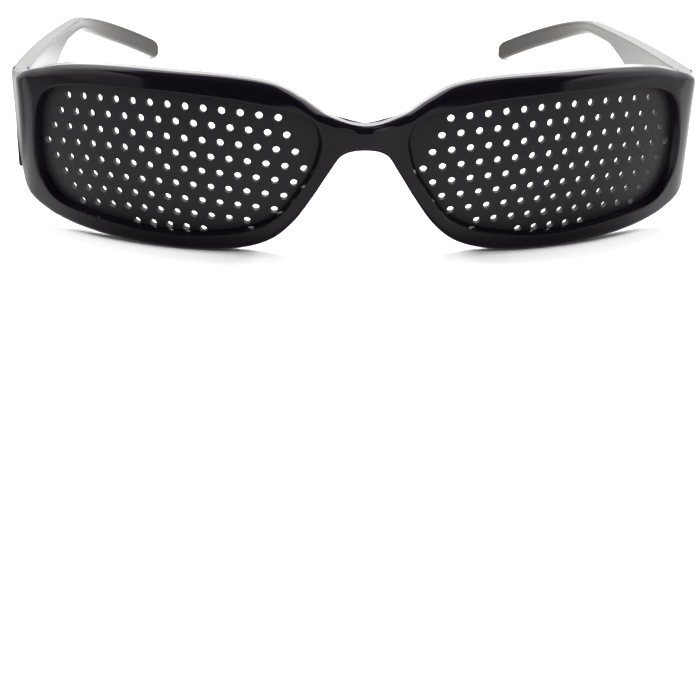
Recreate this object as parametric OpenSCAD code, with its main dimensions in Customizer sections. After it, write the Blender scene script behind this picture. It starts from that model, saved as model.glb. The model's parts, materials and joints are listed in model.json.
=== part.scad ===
// Pinhole glasses: a wrapped moulded front with its nose pads, two perforated
// lens plates let in from behind, and two flat temples on small barrel hinges.
// Millimetres. The glasses stand open on a table: +Z up, -Y is the way the wearer
// looks, +X the wearer's left. The origin is on the table, under the middle of the glasses.

/* [Lens] */
// Width of the visible lens, along its curve
lens_w = 58; // [54:0.5:62]
// Height of the visible lens
lens_h = 28.5; // [26:0.5:32]
// Thickness of the lens plate
lens_t = 1.2; // [1:0.1:1.5]
// Radius of the ball that the lens plates and the rims follow
lens_r = 76; // [70:1:90]
// Angle by which each lens turns outwards at its middle
wrap = 16.6; // [13:0.2:18]
// How far the lens reaches under the lip of the rim
lens_overlap = 0.6; // [0.5:0.05:0.7]
// Play between the face of the lens and the lip
lens_play = 0.1; // [0.05:0.01:0.15]

/* [Pinholes] */
// Distance between neighbouring holes in a row
hole_pitch = 3.5; // [3.3:0.05:3.6]
// Distance between the rows
row_pitch = 3.12; // [2.9:0.02:3.2]
// Diameter of a hole
hole_d = 1.5; // [1:0.1:1.8]
// Fall of a row at 10 mm from its middle, as the rows follow the brow
row_arch = 0.31; // [0:0.01:0.35]
// Distance of the pattern's middle from the lens's middle, outwards
pattern_shift = 0.65; // [0.4:0.05:0.8]

/* [Front] */
// Width of the rim's nose-side edge from the middle plane to the visible lens
nose_gap = 8.9; // [8:0.1:11]
// Depth of the lip, from the lens to the front face
lip_depth = 1.9; // [1.5:0.1:2.4]
// Flare of the lip's inner wall
lip_flare = 0.35; // [0.2:0.05:0.5]
// Wall behind the face of the lens plate
back_depth = 1.4; // [1.3:0.1:1.6]
// Width of the seat that the lens plate lies in
seat_w = 0.95; // [0.85:0.05:1.05]
// Width of the rim over the lens
rim_top = 4; // [3.4:0.1:5]
// Width of the rim under the lens
rim_low = 3.9; // [3.4:0.1:5]
// Width of the rim beside the nose
rim_nose = 3.2; // [2.8:0.1:4]
// Rounding of the outer front edge
edge_r = 1.5; // [1:0.1:1.8]
// Height of the bridge
bridge_h = 5; // [4.5:0.1:7]
// Height of the bridge's middle over the lens's middle line
bridge_z = 8.5; // [8:0.1:9.5]
// How far the bridge stands in front of the lens ball
bridge_fwd = 3.8; // [3:0.1:5]
// Height of the nose pads behind the rim
pad_depth = 4.6; // [3:0.1:6]
// Sideways flare of the nose pads
pad_flare = 2.2; // [1:0.1:3]

/* [Endpieces] */
// Length from the visible lens to the hinge, along the curve
end_len = 15.1; // [14:0.1:18]
// Height of the endpiece at the hinge
end_h = 20.2; // [17:0.1:21]
// Bend radius of the corner, in the wall's middle
corner_r = 8.5; // [7:0.1:10]
// Direction of the front where the corner starts
corner_from = 38.5; // [38:0.5:40.5]
// Direction of the side wall at the hinge, short of straight back
end_turn = 78; // [74:1:84]
// Rise of the endpiece's lower corner at the hinge
end_rise = 1.2; // [0:0.1:2]
// Angle by which the side walls and the temples lean in towards the bottom
side_lean = 1.4; // [0:0.2:3.4]

/* [Temples] */
// Length of the temple from the hinge to its tip
temple_len = 126; // [118:1:134]
// Height of the temple at the hinge
temple_h = 21; // [18:0.1:22]
// Distance from the hinge at which the temple has narrowed to the slender arm
narrow_l = 66; // [60:1:74]
// Height of the slender arm
arm_h = 3.3; // [3:0.1:4.5]
// Height of the paddle behind the ear
paddle_h = 4.7; // [4:0.1:6]
// Thickness of the temple
temple_t = 3.3; // [2.8:0.1:3.6]
// Rounding of the temple's long edges
temple_edge = 0.5; // [0.3:0.05:0.8]
// Angle between the lens plane and the hinge pins
tilt = 7.4; // [5:0.2:9]
// Gap between the temple and the endpiece when open
butt_gap = 0.15; // [0.1:0.05:0.3]

/* [Hinges] */
// Radius of the hinge barrel
barrel_r = 1.4; // [1.2:0.05:1.5]
// Radius of the hinge screw
screw_r = 0.7; // [0.6:0.05:0.8]
// Running play round the screw
screw_play = 0.04; // [0.02:0.01:0.08]
// Height of one barrel knuckle
knuckle_h = 1.9; // [1.6:0.1:2.6]
// Gap between two knuckles
knuckle_gap = 0.06; // [0.04:0.01:0.1]
// Thickness of a hinge leaf
leaf_t = 0.9; // [0.7:0.1:1]
// Length of a hinge leaf from the pin
leaf_len = 7.6; // [6:0.1:8]
// Play between the barrel and the inner faces
barrel_play = 0.1; // [0.1:0.05:0.3]
// Play round a leaf in the pocket that is sunk into the endpiece for it
pocket_play = 0.05; // [0.03:0.01:0.1]
// Height of the screw's head
head_h = 0.6; // [0.4:0.1:0.8]
// Width of the slot in the screw's head
slot_w = 0.3; // [0.2:0.05:0.5]

/* [Hidden] */

// The lens ball: its middle lies behind the front, and d counts backwards from it
lens_mid = nose_gap + lens_w / 2;
ball_x = lens_mid - lens_r * wrap * PI / 180;
ball_y = lens_r * cos(wrap);
face_d = -lens_t / 2;
lip_d = face_d - lens_play;
front_d = lip_d - lip_depth;
back_d = face_d + back_depth;
eps = 0.01;

// Curve of the front seen from above: the ball, then the corner, then the straight side wall,
// which ends square at the hinge
corner_s = ball_x + lens_r * corner_from * PI / 180;
straight_s = corner_s + corner_r * (end_turn - corner_from) * PI / 180;
hinge_s = nose_gap + lens_w + end_len;
corner_x = ball_x + (lens_r - corner_r) * sin(corner_from);
corner_y = ball_y - (lens_r - corner_r) * cos(corner_from);
hinge_y = corner_y - corner_r * cos(end_turn) + (hinge_s - straight_s) * sin(end_turn);
end_z = 0.5;
end_top = end_z + end_h / 2;
end_low = end_z - end_h / 2 + end_rise;
mid_turn = ball_x / lens_r * 180 / PI;
mid_y = ball_y - lens_r * cos(mid_turn) - bridge_fwd;
fade_from = corner_s;
fade_to = straight_s;

function smooth(t) = let (u = min(max(t, 0), 1)) u * u * (3 - 2 * u);
function mix(a, b, t) = a + (b - a) * t;

// Place of the point at arc length s and height z, d behind the lens ball
function place(s, z, d) =
    let (q = 1 - smooth((s - fade_from) / (fade_to - fade_from)),
         r = lens_r - d,
         sag = q * (r - sqrt(r * r - z * z)),
         a = s < corner_s ? (s - ball_x) / lens_r * 180 / PI
           : min(end_turn, corner_from + (s - corner_s) / corner_r * 180 / PI),
         bend_y = corner_y - (corner_r - d) * cos(a),
         past = max(0, s - straight_s) / (hinge_s - straight_s) * (hinge_y - bend_y),
         fall = (1 - q) * (end_top - z),
         near = 1 - smooth(s / nose_gap),
         aside = near * (ball_x - (r - sag) * sin(mid_turn)))
    s < corner_s
        ? [ball_x + (r - sag) * sin(a) - aside, mix(ball_y - (r - sag) * cos(a), mid_y + d, near), z]
        : [corner_x + (corner_r - d) * sin(a) + past / tan(end_turn) - sag * sin(corner_from)
               - fall * tan(side_lean),
           bend_y + past + sag * cos(corner_from), z];

// Stations round one rim, from the bridge over the brow to the hinge and back under
// the lens to the nose. Each has the lens edge in shares of its half size, then the
// step from there out to the rim's edge. A bridge or hinge station gives its edge itself.
lens_z = 0.85;
bridge_top = bridge_z + bridge_h / 2;
bridge_low = bridge_z - bridge_h / 2;
hinge_lean = tan(tilt);
outer_x = place(hinge_s, end_z, front_d)[0];
brow = [[-0.91, 0.755, -7.6, -0.5], [-0.85, 0.79, -5.2, 0.2], [-0.772, 0.832, -3, 0.65 * rim_top],
    [-0.634, 0.89, -2, 1.05 * rim_top], [-0.376, 0.965, -1, 1.07 * rim_top], [0, 1, 0, rim_top],
    [0.4, 0.972, 0.5, rim_top], [0.693, 0.902, 2, 0.95 * rim_top], [0.883, 0.782, 4, 0.85 * rim_top],
    [0.962, 0.6, 9.2, 0.72 * rim_top]];
chin = [[0.959, -0.551, 8.3, -3.3], [0.9, -0.726, 5.9, -3.2], [0.79, -0.846, 3.5, -1.02 * rim_low],
    [0.555, -0.923, 1, -1.13 * rim_low], [0.21, -0.986, 0, -1.05 * rim_low],
    [-0.117, -0.993, -0.5, -rim_low], [-0.393, -0.923, -1.5, -1.05 * rim_low],
    [-0.59, -0.811, -2.3, -0.92 * rim_low], [-0.734, -0.635, -0.81 * rim_nose, -2.3],
    [-0.848, -0.326, -0.97 * rim_nose, -1.2], [-0.948, -0.004, -1.06 * rim_nose, -0.5],
    [-0.993, 0.284, -4.9, -0.4]];

function lens_point(u, v) = [lens_mid + u * lens_w / 2, lens_z + v * lens_h / 2];
function hinge_point(z) = [hinge_s + (z - end_z) * hinge_lean, z];
function rim_station(q) = [lens_point(q[0], q[1]), lens_point(q[0], q[1]) + [q[2], q[3]], false];
stations = concat(
    [[lens_point(-0.945, 0.705), [0, bridge_top], true]],
    [for (q = brow) rim_station(q)],
    [[lens_point(0.99, 0.361), hinge_point(end_top), true],
     [lens_point(1, -0.06), hinge_point(end_z), true],
     [lens_point(0.99, -0.375), hinge_point(end_low), true]],
    [for (q = chin) rim_station(q)],
    [[lens_point(-1, 0.446), [0, bridge_low], true],
     [lens_point(-0.98, 0.6), [0, bridge_z], true]]);
count = len(stations);
steps = 3;
rings = count * steps;
function station(i) = stations[(i + count) % count];

// Smooth curve through four neighbours, from the second to the third
function spline(p0, p1, p2, p3, t) = 0.5 * (2 * p1 + (p2 - p0) * t
    + (2 * p0 - 5 * p1 + 4 * p2 - p3) * t * t + (3 * p1 - p0 - 3 * p2 + p3) * t * t * t);
// Neighbour beyond a corner: across the middle plane on the bridge, or straight on at the hinge
function beyond(p, q) = p[0] == 0 ? [-q[0], q[1]] : 2 * p - q;
function edge_at(i, t) =
    let (a = station(i), b = station(i + 1),
         before = a[2] ? beyond(a[1], b[1]) : station(i - 1)[1],
         after = b[2] ? beyond(b[1], a[1]) : station(i + 2)[1])
    spline(before, a[1], b[1], after, t);
function lens_edge_at(i, t) =
    spline(station(i - 1)[0], station(i)[0], station(i + 1)[0], station(i + 2)[0], t);
lens_edge = [for (i = [0:count - 1]) for (k = [0:steps - 1]) lens_edge_at(i, k / steps)];
rim_edge = [for (i = [0:count - 1]) for (k = [0:steps - 1]) edge_at(i, k / steps)];
function unit(v) = v / norm(v);
function lens_normal(i) =
    let (t = lens_edge[(i + 1) % rings] - lens_edge[(i + rings - 1) % rings])
    unit([-t[1], t[0]]);
function off_lens(i, n) = lens_edge[i] + n * lens_normal(i);

// Distance of a point from the rim's edge, which leaves out the middle plane and the
// square end at the hinge
hinge_first = (len(brow) + 1) * steps;
hinge_last = hinge_first + 2 * steps - 1;
last_real = (count - 2) * steps;
function to_segment(p, a, b) =
    let (t = min(max((p - a) * (b - a) / ((b - a) * (b - a)), 0), 1)) norm(p - a - t * (b - a));
function edge_gap(p) = min([for (i = [0:last_real - 1])
    if (i < hinge_first || i > hinge_last) to_segment(p, rim_edge[i], rim_edge[i + 1])]);
back_r = 0.4;
function face_depth(p) =
    let (e = min(edge_gap(p), edge_r)) front_d + edge_r - sqrt(edge_r * edge_r - pow(edge_r - e, 2));
function rear_depth(p) = back_d - back_r * (1 - min(edge_gap(p) / back_r, 1));

// Nose pads: the rear edge beside the nose is drawn back and outwards
function pad_share(p) = p[0] > lens_mid / 2 ? 0
    : smooth((p[1] + 10.5) / 4.5) * (1 - smooth((p[1] - 1.2) / 1.6));
function padded(p, lift, share) =
    concat(p + [pad_flare * lift * share, 0], rear_depth(p) + pad_depth * lift * share);

// One ring of the rim's section, from the lip over the face and the edge to the seat
lip_r = 0.35;
function ring(i) =
    let (out = rim_edge[i], start = off_lens(i, lip_flare + lip_r), span = norm(out - start),
         dir = (out - start) / span, share = pad_share(out),
         rear = off_lens(i, seat_w), rear_span = norm(out - rear))
    concat(
        [concat(lens_edge[i], lip_d), concat(off_lens(i, lip_flare), front_d + lip_r)],
        [for (f = [1, 0.75, 0.5, 0.25])
            let (p = out - dir * (edge_r + (span - edge_r) * f)) concat(p, face_depth(p))],
        [for (f = [1, 0.5, 0.16, 0]) let (p = out - dir * edge_r * f) concat(p, face_depth(p))],
        [padded(out, 1, share)],
        [let (p = mix(out, rear, back_r / rear_span)) padded(p, 1.02, share)],
        [for (q = [[0.25, 0.93], [0.5, 0.55], [0.75, 0.15]]) padded(mix(out, rear, q[0]), q[1], share)],
        [concat(rear, back_d), concat(rear, lip_d)]);
face_end = 9;
sides = len(ring(0));
half_front = [for (i = [0:rings - 1]) for (q = ring(i)) place(q[0], q[1], q[2])];
function on_middle(i) = i % rings == 0 || i % rings >= last_real;
function corner_of(side, i, j) = let (k = (i % rings) * sides + j % sides)
    side == 1 && on_middle(i) && (j == face_end || j == face_end + 1) ? k : side * rings * sides + k;
front_points = concat(half_front, [for (p = half_front) [-p[0], p[1], p[2]]]);
front_faces = [for (side = [0, 1]) for (i = [0:rings - 1]) for (j = [0:sides - 1])
    if (!(j == face_end && on_middle(i) && on_middle(i + 1)))
        let (a = corner_of(side, i, j), b = corner_of(side, i, j + 1),
             c = corner_of(side, i + 1, j + 1), d = corner_of(side, i + 1, j))
        for (f = side == 0 ? [[a, b, c], [a, c, d]] : [[a, c, b], [a, d, c]]) f];

// Lens plate: its middle axis meets the middle of the hole pattern
pattern_turn = wrap + pattern_shift / lens_r * 180 / PI;
function lens_plan(p) = let (a = (p[0] - ball_x) / lens_r * 180 / PI - pattern_turn)
    [sqrt(lens_r * lens_r - p[1] * p[1]) * sin(a), p[1]];
lens_outline = [for (i = [0:rings - 1]) lens_plan(off_lens(i, lens_overlap))];
// Holes in half each row, counted in half pitches: the outermost ones
hole_rows = [[-12, 12], [-13, 13], [-14, 14], [-15, 15], [-14, 14], [-13, 13], [-12, 12],
    [-9, 11], [-4, 4]];
hole_list = [for (j = [0:8]) for (k = [hole_rows[j][0]:2:hole_rows[j][1]])
    let (a = k * hole_pitch / 2, b = (4 - j) * row_pitch)
    [a * (1 + 0.0014 * b), b - row_arch / 100 * a * a]];

// Temple in its own frame: the pin is the Z axis, X points away from the head
barrel_out = barrel_r + barrel_play;
pin_in = temple_t + barrel_out;
pin_x = outer_x - pin_in;
bend_l = 80;
bend_r = 100;
function temple_top(l) = end_h / 2 - 0.055 * l
    - (l < bend_l ? 0 : bend_r - sqrt(bend_r * bend_r - pow(l - bend_l, 2)));
function temple_height(l) = l < narrow_l ? arm_h + (temple_h - arm_h) * pow(1 - l / narrow_l, 1.3)
    : mix(arm_h, paddle_h, smooth((l - bend_l - 4) / 28));
function temple_out(l) = pin_in - 0.00068 * pow(max(l - 12, 0), 2) - 0.0073 * pow(max(l - 85, 0), 2);
tip_r = 1.6;
tip_low = 0.8;
function corner_cut(l, r) = r - sqrt(max(0, r * r - pow(max(0, l - temple_len + r), 2)));
temple_stops = concat([butt_gap], [for (l = [4:6:temple_len - tip_r - 3]) l],
    [for (d = [tip_r, 1, 0.5, 0.2, 0.05, 0]) temple_len - d]);
function temple_ring(l) =
    let (top = temple_top(l) - corner_cut(l, tip_r),
         low = temple_top(l) - temple_height(l) + corner_cut(l, tip_low),
         t = temple_t * mix(1, 0.9, smooth((l - 60) / 50)), side = min(corner_cut(l, tip_low), 0.2 * t),
         out = temple_out(l) - side, in = temple_out(l) - t + side,
         r = min(mix(temple_edge, 1.3, smooth((l - 50) / 40)), (top - low) * 0.45, (out - in) * 0.45),
         lean_in = tan(side_lean) * (1 - smooth((l - 12) / (bend_l - 12))))
    [for (c = [[in, low, 1, 1, 180], [out + lean_in * (low + r), low, -1, 1, 270],
               [out + lean_in * (top - r), top, -1, -1, 0], [in, top, 1, -1, 90]])
        for (a = [0, 45, 90]) [c[0] + r * (c[2] + cos(c[4] + a)), l, c[1] + r * (c[3] + sin(c[4] + a))]];
temple_points = [for (l = temple_stops) for (p = temple_ring(l)) p];
ends = 12;
stops = len(temple_stops);
temple_faces = concat([[for (j = [0:ends - 1]) j]], [[for (j = [0:ends - 1]) stops * ends - 1 - j]],
    [for (i = [0:stops - 2]) for (j = [0:ends - 1])
        let (a = i * ends + j, b = i * ends + (j + 1) % ends)
        for (f = [[a, a + ends, b], [b, a + ends, b + ends]]) f]);

// Standing: the front leans until the rims and the temple tips touch the table
pin_y = hinge_y;
function arm_to_lens(p) = [p[0] + pin_x, pin_y + p[1] * cos(tilt) + p[2] * sin(tilt),
    end_z - p[1] * sin(tilt) + p[2] * cos(tilt)];
arm_points = [for (p = temple_points) arm_to_lens(p)];
function turned(p, a) = [p[0], p[1] * cos(a) - p[2] * sin(a), p[1] * sin(a) + p[2] * cos(a)];
function lowest(list, a) = min([for (p = list) turned(p, a)[2]]);
function low_difference(a) = lowest(half_front, a) - lowest(arm_points, a);
// The height difference falls evenly with the lean, so two tries give the lean
try_a = 3;
try_b = 5;
lean = try_a - low_difference(try_a) * (try_b - try_a) / (low_difference(try_b) - low_difference(try_a));
foremost = min([for (p = half_front) turned(p, lean)[1]]);
rearmost = max([for (p = arm_points) turned(p, lean)[1]]);
set_y = -(foremost + rearmost) / 2;
set_z = -lowest(half_front, lean);

module stand() {
    translate([0, set_y, set_z]) rotate([lean, 0, 0]) children();
}

module pin_frame() {
    translate([pin_x, pin_y, end_z]) rotate([-tilt, 0, 0]) children();
}

module at_pin() {
    stand() pin_frame() children();
}

// Pocket in the inner face of an endpiece, open to the rear, as deep as the leaf reaches
stack_h = 3 * knuckle_h + 2 * knuckle_gap;
module leaf_pocket() {
    pin_frame() translate([-barrel_out, -leaf_len - pocket_play, -stack_h / 2 - pocket_play])
        cube([2 * barrel_out, leaf_len + barrel_out, stack_h + 2 * pocket_play]);
}

module front_frame() {
    color([0.03, 0.03, 0.035]) stand() difference() {
        polyhedron(front_points, front_faces, convexity = 8);
        leaf_pocket();
        right() leaf_pocket();
    }
}

module lens() {
    color([0.13, 0.12, 0.14]) stand() translate([ball_x, ball_y, 0]) rotate([0, 0, pattern_turn])
        difference() {
            intersection() {
                difference() {
                    sphere(r = lens_r + lens_t / 2, $fn = 240);
                    sphere(r = lens_r - lens_t / 2, $fn = 240);
                }
                rotate([90, 0, 0]) translate([0, 0, lens_r * 0.8])
                    linear_extrude(height = lens_r * 0.3) polygon(lens_outline);
            }
            for (q = hole_list)
                translate([q[0], -lens_r * 0.8, q[1]]) rotate([90, 0, 0])
                    cylinder(d = hole_d, h = lens_r * 0.3, $fn = 24);
        }
}

module temple() {
    color([0.05, 0.05, 0.055]) at_pin() polyhedron(temple_points, temple_faces, convexity = 4);
}

// Barrel knuckles and the leaf that they are bent from
module knuckle(z, way, hole_r) {
    translate([0, 0, z]) difference() {
        union() {
            cylinder(r = barrel_r, h = knuckle_h, $fn = 48);
            translate([barrel_out - leaf_t, way > 0 ? 0 : -barrel_r - butt_gap, 0])
                cube([leaf_t - barrel_play, barrel_r + butt_gap, knuckle_h]);
        }
        translate([0, 0, -1]) cylinder(r = hole_r, h = knuckle_h + 2, $fn = 48);
    }
}

module leaf(way, list, hole_r) {
    start = barrel_r + butt_gap;
    union() {
        for (z = list) knuckle(z, way, hole_r);
        translate([barrel_out - leaf_t, way > 0 ? start - eps : -leaf_len, -stack_h / 2])
            cube([leaf_t, leaf_len - start + eps, stack_h]);
    }
}

module front_leaf() {
    color([0.7, 0.7, 0.7]) at_pin()
        leaf(-1, [-stack_h / 2, stack_h / 2 - knuckle_h], screw_r + screw_play);
}

module temple_leaf() {
    color([0.7, 0.7, 0.7]) at_pin() leaf(1, [-knuckle_h / 2], screw_r + screw_play);
}

module hinge_screw() {
    color([0.6, 0.6, 0.6]) at_pin() difference() {
        union() {
            translate([0, 0, -stack_h / 2]) cylinder(r = screw_r, h = stack_h + eps, $fn = 48);
            translate([0, 0, stack_h / 2 + knuckle_gap]) cylinder(r = barrel_r * 0.9, h = head_h, $fn = 48);
            translate([0, 0, stack_h / 2 - eps]) cylinder(r = screw_r, h = knuckle_gap + 2 * eps, $fn = 48);
        }
        translate([-barrel_r, -slot_w / 2, stack_h / 2 + knuckle_gap + head_h / 2])
            cube([2 * barrel_r, slot_w, head_h]);
    }
}

module right() {
    mirror([1, 0, 0]) children();
}

front_frame();
lens();  // left_lens
right() lens();  // right_lens
temple();  // left_temple
right() temple();  // right_temple
front_leaf();  // left_front_leaf
right() front_leaf();  // right_front_leaf
temple_leaf();  // left_temple_leaf
right() temple_leaf();  // right_temple_leaf
hinge_screw();  // left_hinge_screw
right() hinge_screw();  // right_hinge_screw
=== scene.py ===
import json
import math

import bpy
import numpy as np
from mathutils import Matrix, Vector, geometry


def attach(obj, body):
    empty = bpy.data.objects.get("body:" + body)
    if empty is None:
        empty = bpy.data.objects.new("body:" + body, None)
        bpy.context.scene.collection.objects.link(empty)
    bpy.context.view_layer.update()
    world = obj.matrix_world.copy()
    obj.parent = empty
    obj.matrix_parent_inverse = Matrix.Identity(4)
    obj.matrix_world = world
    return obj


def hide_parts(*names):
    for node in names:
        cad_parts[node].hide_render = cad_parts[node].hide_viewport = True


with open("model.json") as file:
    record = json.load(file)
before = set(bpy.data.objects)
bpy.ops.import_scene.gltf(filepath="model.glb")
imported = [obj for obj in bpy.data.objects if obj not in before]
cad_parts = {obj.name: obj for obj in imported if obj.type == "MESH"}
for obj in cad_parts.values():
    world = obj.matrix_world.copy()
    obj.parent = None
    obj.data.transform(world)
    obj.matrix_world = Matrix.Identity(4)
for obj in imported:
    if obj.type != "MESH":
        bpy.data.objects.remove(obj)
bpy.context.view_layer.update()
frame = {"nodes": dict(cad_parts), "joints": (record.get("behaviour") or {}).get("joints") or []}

mm = 0.001
bothSides = (("left", 1), ("right", -1))  # the wearer's sides, each with the sign of x there


# Small tools for numbers and meshes

weldDigits = 5  # points that agree to this many decimals of a millimetre are one
sharpAngle = 32  # degrees between two faces past which their edge stays sharp
tiny = 1e-12  # keeps a divisor above zero


def smooth(t):
    # Rises from 0 to 1 between t = 0 and t = 1: three t squared less two t cubed
    u = np.clip(t, 0, 1)
    return u * u * (3 - 2 * u)


def blend(a, b, t):
    # a where t is 0, b where it is 1, and in proportion between them
    return a + (b - a) * t


def addObject(name, data):
    made = bpy.data.objects.new(name, data)
    bpy.context.scene.collection.objects.link(made)
    return made


def makeMesh(name, points, faces, body, node, material, sharp=sharpAngle):
    # points are millimetres in the part's frame, faces a list of arrays, one for each count of corners
    mesh = bpy.data.meshes.new(name)
    mesh.from_pydata((points * mm).tolist(), [], [face for part in faces for face in part.tolist()])
    mesh.validate()
    mesh.shade_smooth()
    mesh.set_sharp_from_angle(angle=math.radians(sharp))
    mesh.update()
    piece = addObject(name, mesh)
    mesh.materials.append(material)
    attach(piece, body)
    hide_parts(node)
    return piece


def gridFaces(rows, columns, closedRows=True, closedColumns=True):
    # Quads of a grid of rows x columns points, with the last row or column joined to the first
    i = np.arange(rows if closedRows else rows - 1)[:, None]
    j = np.arange(columns if closedColumns else columns - 1)[None, :]
    nextI, nextJ = (i + 1) % rows, (j + 1) % columns
    return np.stack([i * columns + j, i * columns + nextJ, nextI * columns + nextJ,
                     nextI * columns + j], -1)


def joinDoubles(points, faces):
    # Points that coincide become one, and points that no face uses are dropped
    used = np.unique(faces)
    keys, back = np.unique(np.round(points[used], weldDigits), axis=0, return_inverse=True)
    turn = np.zeros(len(points), int)
    turn[used] = back.ravel()
    return keys, turn[faces]


def mirrored(points, faces):
    # The same piece on the other side: x changes its sign, and the faces turn round with it
    return points * (-1, 1, 1), faces[:, ::-1]


# Camera: at the place that the photograph's upper view was taken from

camera = dict(place=(-0.02254, -0.41586, 0.12751), azimuth=3.456, elevation=23.446, roll=1.151,
              focal=94.34, sensor=36, near=0.01, far=50)


def makeCamera(c):
    # Azimuth turns the view from +Y towards +X, elevation tips it down, and roll turns the picture
    azimuth, elevation, roll = (math.radians(c[k]) for k in ("azimuth", "elevation", "roll"))
    ahead = Vector((math.sin(azimuth) * math.cos(elevation), math.cos(azimuth) * math.cos(elevation),
                    -math.sin(elevation)))
    right = Vector((math.cos(azimuth), -math.sin(azimuth), 0))
    up = right.cross(ahead)
    across = right * math.cos(roll) + up * math.sin(roll)
    upward = up * math.cos(roll) - right * math.sin(roll)
    data = bpy.data.cameras.new("camera")
    data.sensor_width, data.lens = c["sensor"], c["focal"]
    data.clip_start, data.clip_end = c["near"], c["far"]
    eye = addObject("camera", data)
    turn = Matrix((across, upward, -ahead)).transposed().to_4x4()
    eye.matrix_world = Matrix.Translation(c["place"]) @ turn
    bpy.context.scene.camera = eye


makeCamera(camera)
print("camera made")


# Node trees: a wire is a node's output, and sums and products of wires become Math nodes

class Wire:
    def __init__(self, tree, socket):
        self.tree, self.socket = tree, socket

    def maths(self, operation, first, second):
        return self.tree.node("Math", {"operation": operation}, {0: first, 1: second})

    def __add__(self, other):
        return self.maths("ADD", self, other)

    def __sub__(self, other):
        return self.maths("SUBTRACT", self, other)

    def __rsub__(self, other):
        return self.maths("SUBTRACT", other, self)

    def __mul__(self, other):
        return self.maths("MULTIPLY", self, other)

    def __gt__(self, other):
        return self.maths("GREATER_THAN", self, other)

    __radd__ = __add__
    __rmul__ = __mul__

    def capped(self):
        return self.tree.node("Clamp", {}, {"Value": self})

    def size(self):
        return self.maths("ABSOLUTE", self, 0)

    def above(self):
        return self.maths("MAXIMUM", self, 0)


class Tree:
    def __init__(self, owner):
        owner.use_nodes = True
        self.nodes, self.links = owner.node_tree.nodes, owner.node_tree.links
        self.nodes.clear()

    def node(self, kind, settings, sockets, output=0):
        made = self.nodes.new("ShaderNode" + kind)
        for name, value in settings.items():
            setattr(made, name, value)
        for name, value in sockets.items():
            if isinstance(value, Wire):
                self.links.new(value.socket, made.inputs[name])
            else:
                made.inputs[name].default_value = value
        return Wire(self, made.outputs[output]) if made.outputs else None

    def mixColour(self, factor, first, second):
        return self.node("Mix", {"data_type": "RGBA"},
                         {0: factor, 6: first if isinstance(first, Wire) else (*first, 1),
                          7: second if isinstance(second, Wire) else (*second, 1)}, output=2)

    def noise(self, scale, detail, stretch=(1, 1, 1), shift=(0, 0, 0)):
        # Clouds from 0 to 1 about noiseMiddle, drawn out along an axis whose stretch is under 1
        place = self.node("TexCoord", {}, {}, output="Object")
        moved = self.node("Mapping", {}, {"Vector": place, "Scale": stretch, "Location": shift})
        return self.node("TexNoise", {}, {"Vector": moved, "Scale": scale, "Detail": detail})

    def rise(self, value, start, end, low=0, high=1):
        # Goes smoothly from low to high while value goes from start to end
        return self.node("MapRange", {"interpolation_type": "SMOOTHSTEP"},
                         {"Value": value, "From Min": start, "From Max": end, "To Min": low,
                          "To Max": high})

    def bump(self, height, strength, depth):
        return self.node("Bump", {}, {"Strength": strength, "Distance": depth, "Height": height})

    def axes(self, output):
        # X, Y and Z of a place or, in the world, of a direction
        place = self.node("TexCoord", {}, {}, output=output)
        return [self.node("SeparateXYZ", {}, {"Vector": place}, output=axis) for axis in "XYZ"]

    def ray(self, kind):
        return self.node("LightPath", {}, {}, output=kind)

    def seen(self):
        # 1 for what the camera sees, by itself or through something clear
        return (self.ray("Is Camera Ray") + self.ray("Is Transmission Ray")).capped()

    def finish(self, surface):
        self.node("OutputMaterial", {}, {"Surface": surface})


# Materials

noiseMiddle = 0.5
plasticIndex = 1.5  # index of refraction of the mouldings and of the sheet

gloss = dict(black=(0.0045, 0.0028, 0.0062), smudge=(0.0078, 0.0052, 0.01), smudgeScale=70,
             rough=0.05, roughSpread=0.06, scratchScale=900, scratchStretch=(1, 0.12, 0.35),
             scratchShift=(0.3, 0.1, 0), scratchOver=0.66, scratchRough=0.05, peelScale=140,
             peelStrength=0.6, peelDepth=0.000003)


def frontGloss(g):
    # Polished black moulding: faint smudges, hairline scratches and the slight peel of moulded gloss
    material = bpy.data.materials.new("frontGloss")
    t = Tree(material)
    smudge = t.noise(g["smudgeScale"], detail=4)
    hair = t.noise(g["scratchScale"], detail=2, stretch=g["scratchStretch"], shift=g["scratchShift"])
    colour = t.mixColour(smudge, g["black"], g["smudge"])
    rough = smudge * smudge * g["roughSpread"] + (hair > g["scratchOver"]) * g["scratchRough"] \
        + g["rough"]
    peel = t.bump(t.noise(g["peelScale"], detail=2), g["peelStrength"], g["peelDepth"])
    t.finish(t.node("BsdfPrincipled", {}, {"Base Color": colour, "Roughness": rough, "IOR": plasticIndex,
                                           "Normal": peel}))
    return material


satin = dict(plate=(0.0135, 0.0092, 0.0165), cloud=(0.0205, 0.0155, 0.024), cloudScale=45,
             wall=(0.11, 0.104, 0.115), wallGrain=0.6, wallBase=0.5, wallRough=0.25, rough=0.36,
             roughSpread=0.14, grainScale=5200, grainRough=0.12, grainStrength=0.7,
             grainDepth=0.000012)


def lensSatin(s):
    # Satin charcoal sheet: clouded tone, fine grain, and paler cut walls in the drilled holes
    material = bpy.data.materials.new("lensSatin")
    t = Tree(material)
    cloud = t.noise(s["cloudScale"], detail=4)
    grain = t.noise(s["grainScale"], detail=2)
    cut = t.node("Attribute", {"attribute_name": "cut"}, {}, output="Fac")
    face = t.mixColour(cloud, s["plate"], s["cloud"])
    colour = t.mixColour(cut * (grain * s["wallGrain"] + s["wallBase"]).capped(), face, s["wall"])
    rough = cloud * s["roughSpread"] + (grain - noiseMiddle) * s["grainRough"] \
        + cut * s["wallRough"] + s["rough"]
    bump = t.bump(grain, s["grainStrength"], s["grainDepth"])
    t.finish(t.node("BsdfPrincipled", {}, {"Base Color": colour, "Roughness": rough, "IOR": plasticIndex,
                                           "Normal": bump}))
    return material


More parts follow.
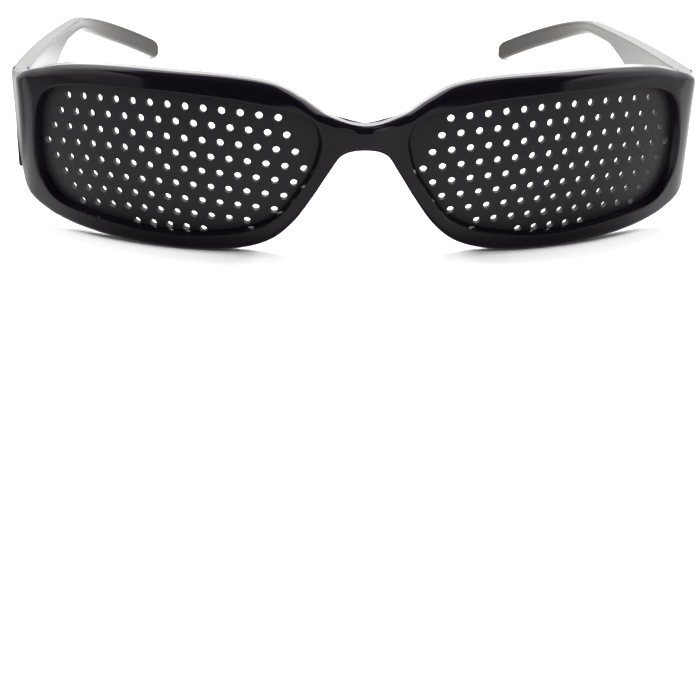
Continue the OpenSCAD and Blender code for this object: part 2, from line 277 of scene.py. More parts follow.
arm = dict(black=(0.0085, 0.008, 0.0088), cloud=(0.0145, 0.0135, 0.0145), cloudScale=55,
           cloudStretch=(1, 0.3, 1), sheen=(1, 0.985, 0.92), rough=0.2, roughSpread=0.12,
           grainScale=3000, grainRough=0.06, grainStrength=0.6, grainDepth=0.000005)


def templeSatin(a):
    # Semi-gloss charcoal moulding with flow marks along the arm
    material = bpy.data.materials.new("templeSatin")
    t = Tree(material)
    cloud = t.noise(a["cloudScale"], detail=4, stretch=a["cloudStretch"])
    grain = t.noise(a["grainScale"], detail=2)
    colour = t.mixColour(cloud, a["black"], a["cloud"])
    rough = cloud * a["roughSpread"] + (grain - noiseMiddle) * a["grainRough"] + a["rough"]
    bump = t.bump(grain, a["grainStrength"], a["grainDepth"])
    t.finish(t.node("BsdfPrincipled", {}, {"Base Color": colour, "Roughness": rough, "IOR": plasticIndex,
                                           "Specular Tint": (*a["sheen"], 1), "Normal": bump}))
    return material


steel = dict(pale=(0.62, 0.62, 0.63), dull=(0.4, 0.39, 0.4), patchScale=300, patchSpread=1.4,
             patchLess=0.3, brushScale=1500, brushStretch=(1, 0.08, 1), brushStrength=0.5,
             brushDepth=0.000008, rough=0.24, roughSpread=0.22)


def hingeSteel(h):
    # Plated steel, brushed along the leaf, with duller patches
    material = bpy.data.materials.new("hingeSteel")
    t = Tree(material)
    brush = t.noise(h["brushScale"], detail=3, stretch=h["brushStretch"])
    patch = t.noise(h["patchScale"], detail=3)
    colour = t.mixColour((patch * h["patchSpread"] - h["patchLess"]).capped(), h["pale"], h["dull"])
    rough = brush * h["roughSpread"] + h["rough"]
    bump = t.bump(brush, h["brushStrength"], h["brushDepth"])
    t.finish(t.node("BsdfPrincipled", {}, {"Base Color": colour, "Roughness": rough, "Metallic": 1,
                                           "Normal": bump}))
    return material


finishes = dict(front=frontGloss(gloss), lens=lensSatin(satin), temple=templeSatin(arm),
                hinge=hingeSteel(steel))
print("materials made")


# Shape of the front: it follows a ball round each lens, a corner and a side wall to the hinge.
# Lengths are millimetres and angles degrees. W ends the name of a width, H a height, T a thickness,
# R a radius, Z a middle's height, S a length along the curve and D a depth behind the ball. The
# functions call the front's sizes f and its Curve c.

front = dict(lensW=58, lensH=28.5, lensT=1.2, lensR=76, wrap=16.6, lensZ=0.85, overlap=0.6,
             lensPlay=0.1, noseGap=8.9, lipDepth=1.9, lipFlare=0.35, lipR=0.35, backDepth=1.4,
             backR=0.4, seatW=0.95, rimTop=4, rimLow=3.9, rimNose=3.2, edgeR=1.5, bridgeH=5,
             bridgeZ=8.5, bridgeFwd=3.8, padDepth=4.6, padFlare=2.2, padFrom=-10.5, padRise=4.5,
             padTo=1.2, padFall=1.6, padPower=1.05, endLen=15.1, endH=20.2, endRise=1.2, endZ=0.5,
             sideLean=1.4, cornerR=8.5, cornerFrom=38.5, endTurn=78, tilt=7.4, steps=22)


class Curve:
    # Lengths and places that follow from the front's driving sizes
    def __init__(self, f):
        rad = math.radians
        self.f = f
        self.lensMid = f["noseGap"] + f["lensW"] / 2
        self.ballX = self.lensMid - f["lensR"] * rad(f["wrap"])
        self.ballY = f["lensR"] * math.cos(rad(f["wrap"]))
        self.faceD = -f["lensT"] / 2
        self.lipD = self.faceD - f["lensPlay"]
        self.frontD = self.lipD - f["lipDepth"]
        self.backD = self.faceD + f["backDepth"]
        self.cornerFrom, self.endTurn = rad(f["cornerFrom"]), rad(f["endTurn"])
        self.cornerS = self.ballX + f["lensR"] * self.cornerFrom
        self.straightS = self.cornerS + f["cornerR"] * (self.endTurn - self.cornerFrom)
        self.hingeS = f["noseGap"] + f["lensW"] + f["endLen"]
        reach = f["lensR"] - f["cornerR"]
        self.cornerX = self.ballX + reach * math.sin(self.cornerFrom)
        self.cornerY = self.ballY - reach * math.cos(self.cornerFrom)
        self.hingeY = (self.cornerY - f["cornerR"] * math.cos(self.endTurn)
                       + (self.hingeS - self.straightS) * math.sin(self.endTurn))
        self.endTop = f["endZ"] + f["endH"] / 2
        self.lean = math.tan(rad(f["sideLean"]))
        self.midTurn = self.ballX / f["lensR"]
        self.midY = self.ballY - f["lensR"] * math.cos(self.midTurn) - f["bridgeFwd"]

    def place(self, s, z, d):
        # Arc length s, height z and d behind the ball: ball, then corner arc, then side wall,
        # with the ball's fall-off in height giving way round the corner to the wall's inward lean,
        # and the bridge drawn forward
        f = self.f
        s, z, d = np.broadcast_arrays(np.asarray(s, float), z, d)
        r = f["lensR"] - d
        cornered = smooth((s - self.cornerS) / (self.straightS - self.cornerS))
        sag = (1 - cornered) * (r - np.sqrt(r * r - z * z))
        onBall = s < self.cornerS
        a = np.where(onBall, (s - self.ballX) / f["lensR"],
                     np.minimum(self.endTurn, self.cornerFrom + (s - self.cornerS) / f["cornerR"]))
        near = 1 - smooth(s / f["noseGap"])
        aside = near * (self.ballX - (r - sag) * math.sin(self.midTurn))
        ball = [self.ballX + (r - sag) * np.sin(a) - aside,
                blend(self.ballY - (r - sag) * np.cos(a), self.midY + d, near)]
        bendY = self.cornerY - (f["cornerR"] - d) * np.cos(a)
        share = np.maximum(0, s - self.straightS) / (self.hingeS - self.straightS)
        past = share * (self.hingeY - bendY)
        fall = cornered * (self.endTop - z)
        wall = [self.cornerX + (f["cornerR"] - d) * np.sin(a) + past / math.tan(self.endTurn)
                - sag * math.sin(self.cornerFrom) - fall * self.lean,
                bendY + past + sag * math.cos(self.cornerFrom)]
        return np.stack([np.where(onBall, ball[0], wall[0]), np.where(onBall, ball[1], wall[1]), z], -1)


curve = Curve(front)


def outlines(f, c, steps):
    # Lens edge and rim edge as smooth curves through the stations round one rim. A brow or chin
    # station is the lens edge in shares of its half size, then the step out to the rim's edge.
    top, low, nose = f["rimTop"], f["rimLow"], f["rimNose"]
    brow = [(-0.91, 0.755, -7.6, -0.5), (-0.85, 0.79, -5.2, 0.2), (-0.772, 0.832, -3, 0.65 * top),
            (-0.634, 0.89, -2, 1.05 * top), (-0.376, 0.965, -1, 1.07 * top), (0, 1, 0, top),
            (0.4, 0.972, 0.5, top), (0.693, 0.902, 2, 0.95 * top), (0.883, 0.782, 4, 0.85 * top),
            (0.962, 0.6, 9.2, 0.72 * top)]
    chin = [(0.959, -0.551, 8.3, -3.3), (0.9, -0.726, 5.9, -3.2), (0.79, -0.846, 3.5, -1.02 * low),
            (0.555, -0.923, 1, -1.13 * low), (0.21, -0.986, 0, -1.05 * low),
            (-0.117, -0.993, -0.5, -low), (-0.393, -0.923, -1.5, -1.05 * low),
            (-0.59, -0.811, -2.3, -0.92 * low), (-0.734, -0.635, -0.81 * nose, -2.3),
            (-0.848, -0.326, -0.97 * nose, -1.2), (-0.948, -0.004, -1.06 * nose, -0.5),
            (-0.993, 0.284, -4.9, -0.4)]

    def lensPoint(u, v):
        return np.array([c.lensMid + u * f["lensW"] / 2, f["lensZ"] + v * f["lensH"] / 2])

    def hingePoint(z):
        # The hinge end leans by tilt about its own middle
        return np.array([c.hingeS + (z - f["endZ"]) * math.tan(math.radians(f["tilt"])), z])

    def middlePoint(z):
        return np.array([0, z])

    def rim(rows):
        # Each station: the point on the lens edge, the one on the rim's edge, and whether it is a corner
        return [(lensPoint(u, v), lensPoint(u, v) + (x, z), False) for u, v, x, z in rows]

    half, bridge = f["endH"] / 2, f["bridgeH"] / 2
    stations = ([(lensPoint(-0.945, 0.705), middlePoint(f["bridgeZ"] + bridge), True)]
                + rim(brow)
                + [(lensPoint(0.99, 0.361), hingePoint(f["endZ"] + half), True),
                   (lensPoint(1, -0.06), hingePoint(f["endZ"]), True),
                   (lensPoint(0.99, -0.375), hingePoint(f["endZ"] - half + f["endRise"]), True)]
                + rim(chin)
                + [(lensPoint(-1, 0.446), middlePoint(f["bridgeZ"] - bridge), True),
                   (lensPoint(-0.98, 0.6), middlePoint(f["bridgeZ"]), True)])
    lens, edge, corner = (np.array([s[k] for s in stations]) for k in range(3))

    def spline(points, stops):
        # Four neighbours give each stretch. Where it ends at a corner, the far one is mirrored: across
        # the middle plane on the bridge, or through the corner itself at the hinge
        after, later, before = (np.roll(points, -k, 0) for k in (1, 2, -1))
        across = np.array([-1, 1])

        def beyond(end, other):
            return np.where(end[:, :1] == 0, other * across, 2 * end - other)

        before = np.where(stops[:, None], beyond(points, after), before)[:, None]
        later = np.where(np.roll(stops, -1)[:, None], beyond(after, points), later)[:, None]
        p, q = points[:, None], after[:, None]
        t = (np.arange(steps) / steps)[None, :, None]
        return (0.5 * (2 * p + (q - before) * t + (2 * before - 5 * p + 4 * q - later) * t * t
                       + (3 * p - before - 3 * q + later) * t ** 3)).reshape(-1, 2)

    real = (len(stations) - 2) * steps  # the stretches after this lie on the middle plane
    hinge = ((len(brow) + 1) * steps, (len(brow) + 3) * steps)
    return spline(lens, np.zeros(len(stations), bool)), spline(edge, corner), real, hinge


lensEdge, rimEdge, realRings, hingeRings = outlines(front, curve, front["steps"])


def sideways(line):
    # Unit vectors square to a closed line, to its outer side
    t = np.roll(line, -1, 0) - np.roll(line, 1, 0)
    n = np.stack([-t[:, 1], t[:, 0]], 1)
    return n / np.linalg.norm(n, axis=1, keepdims=True)


lensOut = sideways(lensEdge)


def edgeGap(points, batch=2000):
    # Distance from each point to the rim's rounded edge, which leaves out middle plane and hinge end,
    # for a batch of points at a time
    keep = [i for i in range(realRings) if not hingeRings[0] <= i < hingeRings[1]]
    a, b = rimEdge[keep], np.roll(rimEdge, -1, 0)[keep]
    along = b - a
    length = np.maximum((along ** 2).sum(1), tiny)
    flat, gaps = points.reshape(-1, 2), []
    for part in np.array_split(flat, max(1, len(flat) // batch)):
        step = part[:, None] - a[None]
        t = np.clip((step * along).sum(2) / length, 0, 1)
        gaps.append(np.linalg.norm(step - t[..., None] * along, axis=2).min(1))
    return np.concatenate(gaps).reshape(points.shape[:-1])


# How many points each stretch of the front's section has
section = dict(lip=4, lipRound=6, face=12, edge=12, side=8, backRound=5, rear=16, seat=4)


def frontSection(f, c, n):
    # Each ring's section, from the lens edge up the lip, over the face and the rounded edge, down the
    # side, over the rear with its nose pad, and down the seat: plan points and depths as arrays
    lens, out = lensEdge[:, None], rimEdge[:, None]
    normal = lensOut[:, None]
    plans, depths = [], []

    def add(plan, depth):
        plan = np.broadcast_to(plan, (len(lensEdge), plan.shape[1], 2))
        plans.append(plan)
        depths.append(np.broadcast_to(depth, plan.shape[:2]))

    def ramp(count, last=False):
        # Even shares from 0 up to 1, with 1 itself only where the stretch is the last of its run
        return (np.arange(count) / (count - 1 if last else count))[None, :, None]

    def frontDepth(plan):
        # Level, then a quarter circle back within edgeR of the rim's edge
        inner = f["edgeR"] - np.minimum(edgeGap(plan), f["edgeR"])
        return c.frontD + f["edgeR"] - np.sqrt(f["edgeR"] ** 2 - inner ** 2)

    def rearDepth(plan):
        # The same on the rear, forwards within backR
        inner = 1 - np.minimum(edgeGap(plan) / f["backR"], 1)
        return c.backD - f["backR"] * (1 - np.sqrt(1 - inner * inner))

    t = ramp(n["lip"])
    add(lens + normal * f["lipFlare"] * t, blend(c.lipD, c.frontD + f["lipR"], t[..., 0]))
    phi = ramp(n["lipRound"]) * math.pi / 2
    add(lens + normal * (f["lipFlare"] + f["lipR"] * (1 - np.cos(phi))),
        (c.frontD + f["lipR"] * (1 - np.sin(phi)))[..., 0])
    start = lens + normal * (f["lipFlare"] + f["lipR"])
    reach = np.linalg.norm(out - start, axis=2, keepdims=True)
    ahead = (out - start) / reach
    turnPoint = out - ahead * f["edgeR"]
    phi = (1 - ramp(n["edge"], True)) * math.pi / 2
    face = np.concatenate([blend(start, turnPoint, ramp(n["face"])),
                           out - ahead * f["edgeR"] * (1 - np.cos(phi))], 1)
    add(face, frontDepth(face))

    height = rimEdge[:, 1]
    padShare = smooth((height - f["padFrom"]) / f["padRise"]) \
        * (1 - smooth((height - f["padTo"]) / f["padFall"]))
    share = np.where(rimEdge[:, 0] > c.lensMid / 2, 0, padShare)[:, None, None]

    def padded(plan, depth, lift):
        # The nose pad: the section moves back and aside by its share of the pad
        shift = np.concatenate([f["padFlare"] * lift * share, 0 * lift * share], 2)
        add(plan + shift, depth + (f["padDepth"] * lift * share)[..., 0])

    t = ramp(n["side"])[:, 1:]
    padded(out + 0 * t, blend(frontDepth(out), rearDepth(out), t[..., 0]), t)
    rear = lens + normal * f["seatW"]
    across = rear - out
    span = np.linalg.norm(across, axis=2, keepdims=True)
    phi = ramp(n["backRound"]) * math.pi / 2
    plan = out + across / span * f["backR"] * (1 - np.cos(phi))
    padded(plan, rearDepth(plan), 1 + 0 * phi)
    q = blend(f["backR"] / span, 1, ramp(n["rear"]))
    plan = out + across * q
    padded(plan, rearDepth(plan), 1 - smooth((q - f["backR"] / span) ** f["padPower"]))
    t = ramp(n["seat"], True)
    add(rear + 0 * t, blend(c.backD, c.lipD, t[..., 0]))
    return np.concatenate(plans, 1), np.concatenate(depths, 1)


# From the lens frame and the pin's frame to the table. The hinge's joint gives the place of the pin.

joint = {j["name"]: j for j in frame["joints"]}["left_hinge"]
pinAxis = np.array(joint["axis"])
lean = math.radians(front["tilt"]) - math.asin(pinAxis[1])
pinX = joint["pos_m"][0] / mm


def rolled(points, angle):
    # Turned about the X axis
    y, z = points[..., 1], points[..., 2]
    return np.stack([points[..., 0], y * math.cos(angle) - z * math.sin(angle),
                     y * math.sin(angle) + z * math.cos(angle)], -1)


pinLens = np.array([pinX, curve.hingeY, front["endZ"]])
seatShift = np.array(joint["pos_m"]) / mm - rolled(pinLens, lean)


def standing(points):
    # From the lens frame to the table: leaned forward, then moved so that the pin is where the joint is
    return rolled(points, lean) + seatShift


def fromPin(points):
    # From the pin's own frame (Z along the pin, Y back along the temple) to the table
    return standing(rolled(points, -math.radians(front["tilt"])) + pinLens)


def frontPiece(f, c, n, middleWidth=1e-6):
    # The section's rings as a grid without its wall on the middle plane, joined there to its mirror image
    plan, depth = frontSection(f, c, n)
    rings, columns = depth.shape
    points = standing(c.place(plan[..., 0], plan[..., 1], depth)).reshape(-1, 3)
    faces = gridFaces(rings, columns)
    sideStart = n["lip"] + n["lipRound"] + n["face"] + n["edge"] - 1
    column = np.arange(columns)
    onSide = (column >= sideStart) & (column < sideStart + n["side"])
    middle = np.zeros(rings, bool)
    middle[realRings:] = True
    faces = faces[~(middle[:, None] & onSide[None])]
    otherPoints, otherFaces = mirrored(points, faces)
    both = np.concatenate([points, otherPoints])
    both[np.abs(both[:, 0]) < middleWidth, 0] = 0
    return joinDoubles(both, np.concatenate([faces[:, ::-1], otherFaces[:, ::-1] + len(points)]))


leafPocket = dict(half=1.5, length=7.65, past=1.45, height=5.92)


def pocketBox(p):
    # The room for a hinge's front leaf: a box in the pin's frame, as a closed mesh on the table's axes
    corners = np.array([[x, y, z] for x in (-p["half"], p["half"]) for y in (-p["length"], p["past"])
                        for z in (-p["height"] / 2, p["height"] / 2)])
    return fromPin(corners), np.array([[0, 1, 3, 2], [4, 6, 7, 5], [0, 4, 5, 1], [2, 3, 7, 6],
                                       [0, 2, 6, 4], [1, 5, 7, 3]])


def cutBoxes(piece, boxes):
    # Takes closed boxes out of the piece's mesh, and keeps the result as the mesh
    cutters = []
    for points, faces in boxes:
        mesh = bpy.data.meshes.new("cutter")
        mesh.from_pydata((points * mm).tolist(), [], faces.tolist())
        cutter = addObject("cutter", mesh)
        cutters.append(cutter)
        cut = piece.modifiers.new("cut", "BOOLEAN")
        cut.operation, cut.solver, cut.object = "DIFFERENCE", "EXACT", cutter
    whole = piece.evaluated_get(bpy.context.evaluated_depsgraph_get())
    piece.data = bpy.data.meshes.new_from_object(whole)
    piece.modifiers.clear()
    for cutter in cutters:
        bpy.data.objects.remove(cutter)
    piece.data.set_sharp_from_angle(angle=math.radians(sharpAngle))


points, faces = frontPiece(front, curve, section)
frontFrame = makeMesh("frontMoulding", points, [faces], "front", "front_frame",
                      finishes["front"])
leftPocket = pocketBox(leafPocket)
cutBoxes(frontFrame, [leftPocket, mirrored(*leftPocket)])
print("front moulding made:", len(frontFrame.data.polygons), "faces")


# Lens plates: a shell of the ball, cut to the outline and pierced square to the sheet.
# rows holds each row's first and last hole, counted in half pitches from the middle. A row lies lower
# by arch at 10 mm from its middle, and widen draws out its pitch with its height over the middle row.

holes = dict(pitch=3.5, row=3.12, size=1.42, arch=0.31, shift=0.65, widen=0.0014, chamfer=0.09,
             corners=30, rows=((-12, 12), (-13, 13), (-14, 14), (-15, 15), (-14, 14), (-13, 13),
                               (-12, 12), (-9, 11), (-4, 4)))
plate = dict(rim=0.1, everyPoint=3, sharpAngle=28)


def holeRings(f, h):
    # Plan circles of the holes at their full size and at the chamfer's edge, narrowed towards the
    # plate's middle as a circle that lies on the ball looks from in front
    centres = []
    for row, (first, last) in enumerate(h["rows"]):
        a = np.arange(first, last + 1, 2) * h["pitch"] / 2
        b = (len(h["rows"]) // 2 - row) * h["row"]
        centres.append(np.stack([a * (1 + h["widen"] * b), b - h["arch"] / 100 * a * a], 1))
    centres = np.concatenate(centres)
    away = np.linalg.norm(centres, axis=1, keepdims=True)
    ahead = centres / np.maximum(away, tiny)
    theta = np.arange(h["corners"]) * 2 * math.pi / h["corners"]
    circle = np.stack([np.cos(theta), np.sin(theta)], 1)[None]
    part = (circle * ahead[:, None]).sum(2, keepdims=True) * ahead[:, None]
    flat = circle - part * (1 - np.sqrt(1 - (away / f["lensR"]) ** 2))[:, None]
    return centres[:, None] + flat * h["size"] / 2, \
        centres[:, None] + flat * (h["size"] / 2 + h["chamfer"])


def pierced(inset, ring):
    # Triangles between the outline and the holes' rings, and which plan point each corner is
    n, (m, k) = len(inset), ring.shape[:2]
    flat = np.concatenate([inset, ring.reshape(-1, 2)])
    loops = [np.arange(n)[::-1].tolist()] + (n + np.arange(m * k).reshape(m, k)).tolist()
    insideOnly, closeness = 1, 1e-5
    _, _, triangles, origin, _, _ = geometry.delaunay_2d_cdt([Vector(q) for q in flat], [], loops,
                                                             insideOnly, closeness)
    given, triangles = np.array([points[0] for points in origin]), np.array(triangles)
    plan = flat[given]
    corner = plan[triangles]
    one, two = corner[:, 1] - corner[:, 0], corner[:, 2] - corner[:, 0]
    leftward = one[:, 0] * two[:, 1] - one[:, 1] * two[:, 0] > 0
    # A triangle whose three corners belong to one hole fills it, so it goes
    hole = np.where(given < n, -1 - given, (given - n) // k)[triangles]
    between = (hole != hole[:, :1]).any(1)
    return plan, np.where(leftward[:, None], triangles, triangles[:, ::-1])[between]


def plateMesh(f, c, h, p):
    # Every point stands over the plan on the ball, moved out or in along its own radius
    turn = math.radians(f["wrap"]) + h["shift"] / f["lensR"]
    edge = lensEdge + lensOut * f["overlap"]
    angle = (edge[:, 0] - c.ballX) / f["lensR"] - turn
    outline = np.stack([np.sqrt(f["lensR"] ** 2 - edge[:, 1] ** 2) * np.sin(angle), edge[:, 1]], 1)
    outline = outline[::p["everyPoint"]]
    inset = outline - sideways(outline) * p["rim"]
    wall, ring = holeRings(f, h)
    plan, triangles = pierced(inset, ring)

    def sheet(points, out):
        # The ball's point over each plan point, out millimetres outside the middle of the sheet
        r = f["lensR"]
        ball = np.stack([points[..., 0], -np.sqrt(r * r - (points ** 2).sum(-1)), points[..., 1]], -1)
        return ball * (1 + out / r)

    # Each hole's wall in five rings from face to face, and the plate's outer edge in four
    half = f["lensT"] / 2
    inside = half - h["chamfer"]
    tube = np.stack([sheet(ring, half), sheet(wall, inside), sheet(wall, 0), sheet(wall, -inside),
                     sheet(ring, -half)], 2)
    band = np.stack([sheet(inset, half), sheet(outline, half - p["rim"]),
                     sheet(outline, p["rim"] - half), sheet(inset, -half)], 1)
    parts = [sheet(plan, half), sheet(plan, -half), tube, band]
    starts = np.cumsum([0] + [q.size // 3 for q in parts])
    m, k, levels = tube.shape[:3]
    tubeFaces = gridFaces(k, levels, True, False).reshape(1, -1, 4)[..., ::-1] \
        + np.arange(m)[:, None, None] * k * levels
    faces = [triangles, triangles[:, ::-1] + starts[1], tubeFaces.reshape(-1, 4) + starts[2],
             gridFaces(*band.shape[:2], True, False).reshape(-1, 4) + starts[3]]
    cut = np.concatenate([np.zeros(2 * len(plan)), np.tile([0, 1, 1, 1, 0], m * k),
                          np.zeros(band.size // 3)])
    points = np.concatenate([q.reshape(-1, 3) for q in parts])
    x, y = points[:, 0].copy(), points[:, 1].copy()
    points[:, 0] = c.ballX + x * math.cos(turn) - y * math.sin(turn)
    points[:, 1] = c.ballY + x * math.sin(turn) + y * math.cos(turn)
    points, first, back = np.unique(np.round(points, weldDigits), axis=0, return_index=True,
                                    return_inverse=True)
    return standing(points), [back.ravel()[part] for part in faces], cut[first]


platePoints, plateFaces, plateCut = plateMesh(front, curve, holes, plate)
for side, sign in bothSides:
    faces = [part[:, ::sign] for part in plateFaces]
    piece = makeMesh(side + "PinholePlate", platePoints * (sign, 1, 1), faces, "front",
                     side + "_lens", finishes["lens"], plate["sharpAngle"])
    layer = piece.data.attributes.new("cut", "FLOAT", "POINT")  # 1 on the walls of the holes
    layer.data.foreach_set("value", plateCut.astype(np.float32))
print("pinhole plates made:", len(piece.data.polygons), "faces each")


# Temples: a tall flat side that narrows to a slender arm and a paddle, in the pin's frame

temple = dict(length=126, short=0.01, gap=0.15, firstStep=0.12, stations=260, tipStations=20,
              tipFrom=0.06, height=21, arm=3.3, narrowAt=66, narrowPower=1.3, paddle=4.7,
              paddleFrom=4, paddleOver=28, drop=0.055, bendAt=80, bendR=100, tipR=1.6, tipLow=0.8,
              thick=3.3, barrelOut=1.5, thinShare=0.9, thinFrom=60, thinOver=50, tipThin=0.2,
              straightTo=12, bow=0.00068, endBowFrom=85, endBow=0.0073, edge=0.5, armEdge=1.3,
              armEdgeFrom=50, armEdgeOver=40, edgeShare=0.45, arc=7,
              flat=(0.04, 0.2, 0.4, 0.6, 0.8, 0.96))


def templePiece(f, p):
    # A rounded rectangle at each station along the arm. Its top slopes down, then bends down on a
    # circle. Its height narrows by a power and widens again at the paddle. Its outer side bows inwards
    # by squares of the length, and leans like the endpiece's wall, ever less up to the bend.
    end = p["length"] - p["short"]
    tip = 1 - np.sin(np.linspace(p["tipFrom"], 1, p["tipStations"]) * math.pi / 2)
    along = np.concatenate([[p["gap"]],
                            np.linspace(p["gap"] + p["firstStep"], end - p["tipR"], p["stations"]),
                            end - p["tipR"] * tip])
    bent = np.maximum(along - p["bendAt"], 0)
    top = f["endH"] / 2 - p["drop"] * along - (p["bendR"] - np.sqrt(p["bendR"] ** 2 - bent ** 2))
    narrow = np.maximum(1 - along / p["narrowAt"], 0) ** p["narrowPower"]
    paddle = smooth((along - p["bendAt"] - p["paddleFrom"]) / p["paddleOver"])
    high = np.where(along < p["narrowAt"], p["arm"] + (p["height"] - p["arm"]) * narrow,
                    blend(p["arm"], p["paddle"], paddle))
    far = p["thick"] + p["barrelOut"] - p["bow"] * np.maximum(along - p["straightTo"], 0) ** 2 \
        - p["endBow"] * np.maximum(along - p["endBowFrom"], 0) ** 2

    def cornerCut(radius):
        # How far a corner of this radius draws the edge in, which is nothing until near the tip
        return radius - np.sqrt(np.maximum(0, radius ** 2 - np.maximum(0, along - end + radius) ** 2))

    thick = p["thick"] * blend(1, p["thinShare"], smooth((along - p["thinFrom"]) / p["thinOver"]))
    slim = np.minimum(cornerCut(p["tipLow"]), p["tipThin"] * thick)
    outer, inner = far - slim, far - thick + slim
    upper, lower = top - cornerCut(p["tipR"]), top - high + cornerCut(p["tipLow"])
    edge = blend(p["edge"], p["armEdge"], smooth((along - p["armEdgeFrom"]) / p["armEdgeOver"]))
    r = np.minimum(np.minimum(edge, (upper - lower) * p["edgeShare"]), (outer - inner) * p["edgeShare"])
    corners = ((inner, lower, 1, 1, 180), (outer, lower, -1, 1, 270), (outer, upper, -1, -1, 0),
               (inner, upper, 1, -1, 90))
    upright = smooth((along - p["straightTo"]) / (p["bendAt"] - p["straightTo"]))
    lean = math.tan(math.radians(f["sideLean"])) * (1 - upright)
    arcs = []
    for x, z, inX, inZ, begin in corners:
        if inX < 0:
            x = x + lean * (z + inZ * r)
        phi = np.radians(begin + np.linspace(0, 90, p["arc"]))[None]
        arcs.append(np.stack([x[:, None] + r[:, None] * (inX + np.cos(phi)),
                              z[:, None] + r[:, None] * (inZ + np.sin(phi))], -1))
    loop = []
    share = np.array(p["flat"])[None, :, None]
    for this, following in zip(arcs, arcs[1:] + arcs[:1]):
        loop += [this, blend(this[:, -1:], following[:, :1], share)]
    loop = np.concatenate(loop, 1)
    rows, columns = loop.shape[:2]
    back = np.broadcast_to(along[:, None], (rows, columns))
    points = np.stack([loop[..., 0], back, loop[..., 1]], -1).reshape(-1, 3)
    ends = np.stack([np.arange(columns), np.arange(columns)[::-1] + (rows - 1) * columns])
    return fromPin(points), [gridFaces(rows, columns, False, True).reshape(-1, 4)[:, ::-1], ends]


templePoints, templeFaces = templePiece(front, temple)
for side, sign in bothSides:
    makeMesh(side + "TempleArm", templePoints * (sign, 1, 1), [part[:, ::sign] for part in templeFaces],
             side + "_arm", side + "_temple", finishes["temple"])
print("temples made")

for name, node in frame["nodes"].items():
    if "leaf" in name or "screw" in name:
        node.data.materials.clear()
        node.data.materials.append(finishes["hinge"])
print("hinges finished")


# Stage: a white table, and a room that is white to the camera and dark in front to a glossy surface

# The shade entries set the painted shadow that glossy surfaces see in the oval where the rims stand, the
# corner entries the painted shadow beside the picture's left temple, and ahead, beside and behind the
# floor's painted levels of light
stage = dict(near=-0.62, far=1.3, half=0.8, white=0.8, bright=0.75, fadeFrom=0.04, fadeTo=0.25,
             ahead=0.5, aheadFrom=-0.075, aheadTo=-0.055, beside=1.15, behind=2.3, behindFrom=-0.02,
             behindTo=0.03, leftBehind=4, shade=0.13, shadeFrom=0.1, shadeTo=1.15, shadeX=0.024,
             shadeLong=0.045, shadeY=-0.066, shadeDeep=0.018, shadeBack=0.01, shadeTail=0.03,
             templeShadow=0.7, cornerFrom=-0.06, cornerTo=-0.078, cornerBackFrom=-0.04,
             cornerBackTo=-0.012)


def makeFloor(g):
    # White paper with the object's shadow, which goes over to plain white away from it. A glossy surface
    # sees instead the floor glowing with a painted reflection: three painted levels of light, ahead,
    # beside and behind, with a painted shadow in an oval where the rims stand and another painted shadow
    # beside the picture's left temple.
    mesh = bpy.data.meshes.new("floor")
    mesh.from_pydata([(-g["half"], g["near"], 0), (g["half"], g["near"], 0), (g["half"], g["far"], 0),
                      (-g["half"], g["far"], 0)], [], [(0, 1, 2, 3)])
    floor = addObject("floor", mesh)
    material = bpy.data.materials.new("paper")
    t = Tree(material)
    seen = t.seen()
    x, y, _ = t.axes("Object")
    # Painted shadow of the frame on the floor as glossy surfaces see it: darker in an oval where the rims
    # stand, reaching back under the front
    aside = (x.size() - g["shadeX"]) * (1 / g["shadeLong"])
    along = (g["shadeY"] - y).above() * (1 / g["shadeDeep"]) \
        + (y - g["shadeBack"]).above() * (1 / g["shadeTail"])
    shade = t.rise(aside * aside + along * along, g["shadeFrom"], g["shadeTo"], g["shade"], 1)
    # Painted levels of light on the floor as glossy surfaces see it: dimmer ahead, brighter beside,
    # brightest behind
    light = t.rise(y, g["aheadFrom"], g["aheadTo"], g["ahead"], g["beside"]) * (x + 1) \
        + t.rise(y, g["behindFrom"], g["behindTo"], 0, g["behind"] - g["beside"]) \
        * (1 - x * g["leftBehind"])
    # Painted shadow of the picture's left temple on the floor beside it
    corner = 1 - t.rise(x, g["cornerFrom"], g["cornerTo"]) \
        * t.rise(y, g["cornerBackFrom"], g["cornerBackTo"]) * g["templeShadow"]
    paper = t.node("BsdfDiffuse", {}, {"Color": seen * g["bright"] + g["white"]})
    lift = seen * t.rise(x * x + y * y, g["fadeFrom"], g["fadeTo"])
    lit = t.node("AddShader", {}, {0: paper, 1: t.node("Emission", {}, {"Color": lift})})
    # The painted reflection: for glossy rays the floor glows with these painted levels of light and
    # painted shadows
    mirror = t.node("Emission", {}, {"Color": light * shade * corner})
    t.finish(t.node("MixShader", {}, {0: t.ray("Is Glossy Ray"), 1: lit, 2: mirror}))
    mesh.materials.append(material)


room = dict(dark=0.03, side=0.42, sideMore=0.4, moreFrom=0.8, moreTo=1, sideFrom=0.66, sideTo=0.7,
            sideRise=3, sideTilt=0.1, back=1.9, backFrom=-0.1, backTo=0.4, backRise=0.12, high=1.3,
            highFrom=0.5, highTo=0.78, band=3.2, bandLow=0.08, bandHigh=0.58, bandEdge=0.16,
            bandWide=0.4, top=0.1, topFrom=0.86, topTo=0.93, fill=0.3)


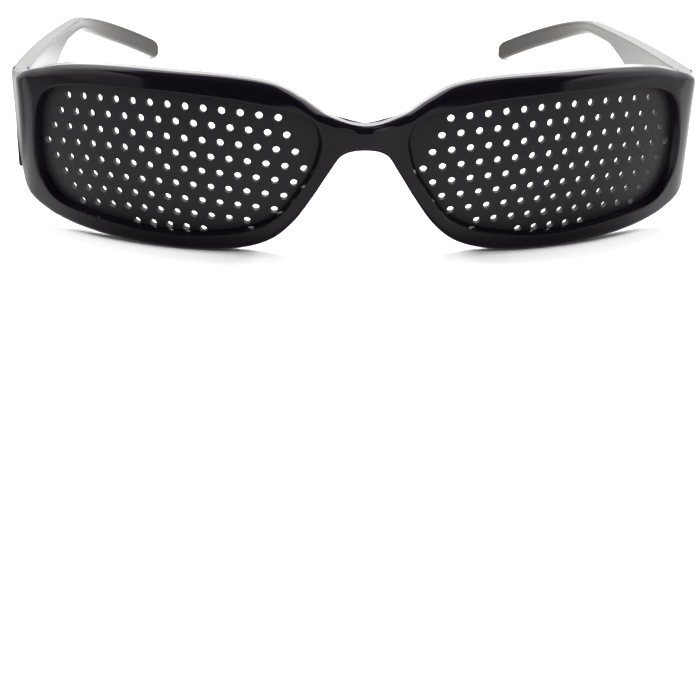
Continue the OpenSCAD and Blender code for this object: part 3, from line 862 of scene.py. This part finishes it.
def makeWorld(g):
    # White to the camera. To a glossy surface it is dark in front, grey at both sides, bright behind,
    # brightest low behind the middle, and dark overhead
    world = bpy.data.worlds.new("room")
    bpy.context.scene.world = world
    t = Tree(world)
    x, y, z = t.axes("Generated")
    aside = x.size()
    sides = t.rise(aside, g["moreFrom"], g["moreTo"], g["side"], g["side"] + g["sideMore"]) \
        * (z * g["sideRise"] + 1) * (x * g["sideTilt"] + 1)
    near = g["dark"] + t.rise(aside, g["sideFrom"], g["sideTo"]) * (sides - g["dark"])
    band = t.rise(z, g["bandLow"], g["bandLow"] + g["bandEdge"]) \
        * t.rise(z, g["bandHigh"], g["bandHigh"] - g["bandEdge"]) \
        * t.rise(aside, g["bandWide"], g["bandWide"] - g["bandEdge"])
    behind = t.rise(z, g["highFrom"], g["highTo"], g["back"], g["back"] + g["high"]) \
        + band * g["band"]
    around = near + t.rise(y + z * g["backRise"], g["backFrom"], g["backTo"]) * (behind - near)
    mirror = around + t.rise(z, g["topFrom"], g["topTo"]) * (g["top"] - around)
    glossy, seen = t.ray("Is Glossy Ray"), t.seen()
    strength = seen + (1 - seen) * (glossy * mirror + (1 - glossy) * g["fill"])
    t.node("OutputWorld", {}, {"Surface": t.node("Background", {}, {"Strength": strength})})


# left and right are the picture's here, with places and sizes in metres and the power in watts
lamps = dict(back=dict(place=(0, 0.3, 1), size=(0.9, 0.5), power=7.5),
             left=dict(place=(-0.72, 0.1, 0.62), size=(0.4, 0.4), power=4),
             right=dict(place=(0.72, 0.1, 0.62), size=(0.35, 0.35), power=3.5),
             front=dict(place=(0, -0.8, 0.9), size=(0.6, 0.4), power=3))
lampTarget = (0, -0.03, 0.01)


def makeLamps(table, target):
    # Oblong lamps that face the target, and that neither the camera nor a glossy surface sees
    for name, box in table.items():
        data = bpy.data.lights.new(name + "Box", "AREA")
        data.shape, data.energy = "RECTANGLE", box["power"]
        data.size, data.size_y = box["size"]
        lamp = addObject(name + "Box", data)
        toward = (Vector(target) - Vector(box["place"])).to_track_quat("-Z", "Y")
        lamp.matrix_world = Matrix.Translation(box["place"]) @ toward.to_matrix().to_4x4()
        lamp.visible_camera = False
        lamp.visible_glossy = False


makeFloor(stage)
makeWorld(room)
makeLamps(lamps, lampTarget)
bpy.context.scene.view_settings.view_transform = "Standard"
print("stage made")
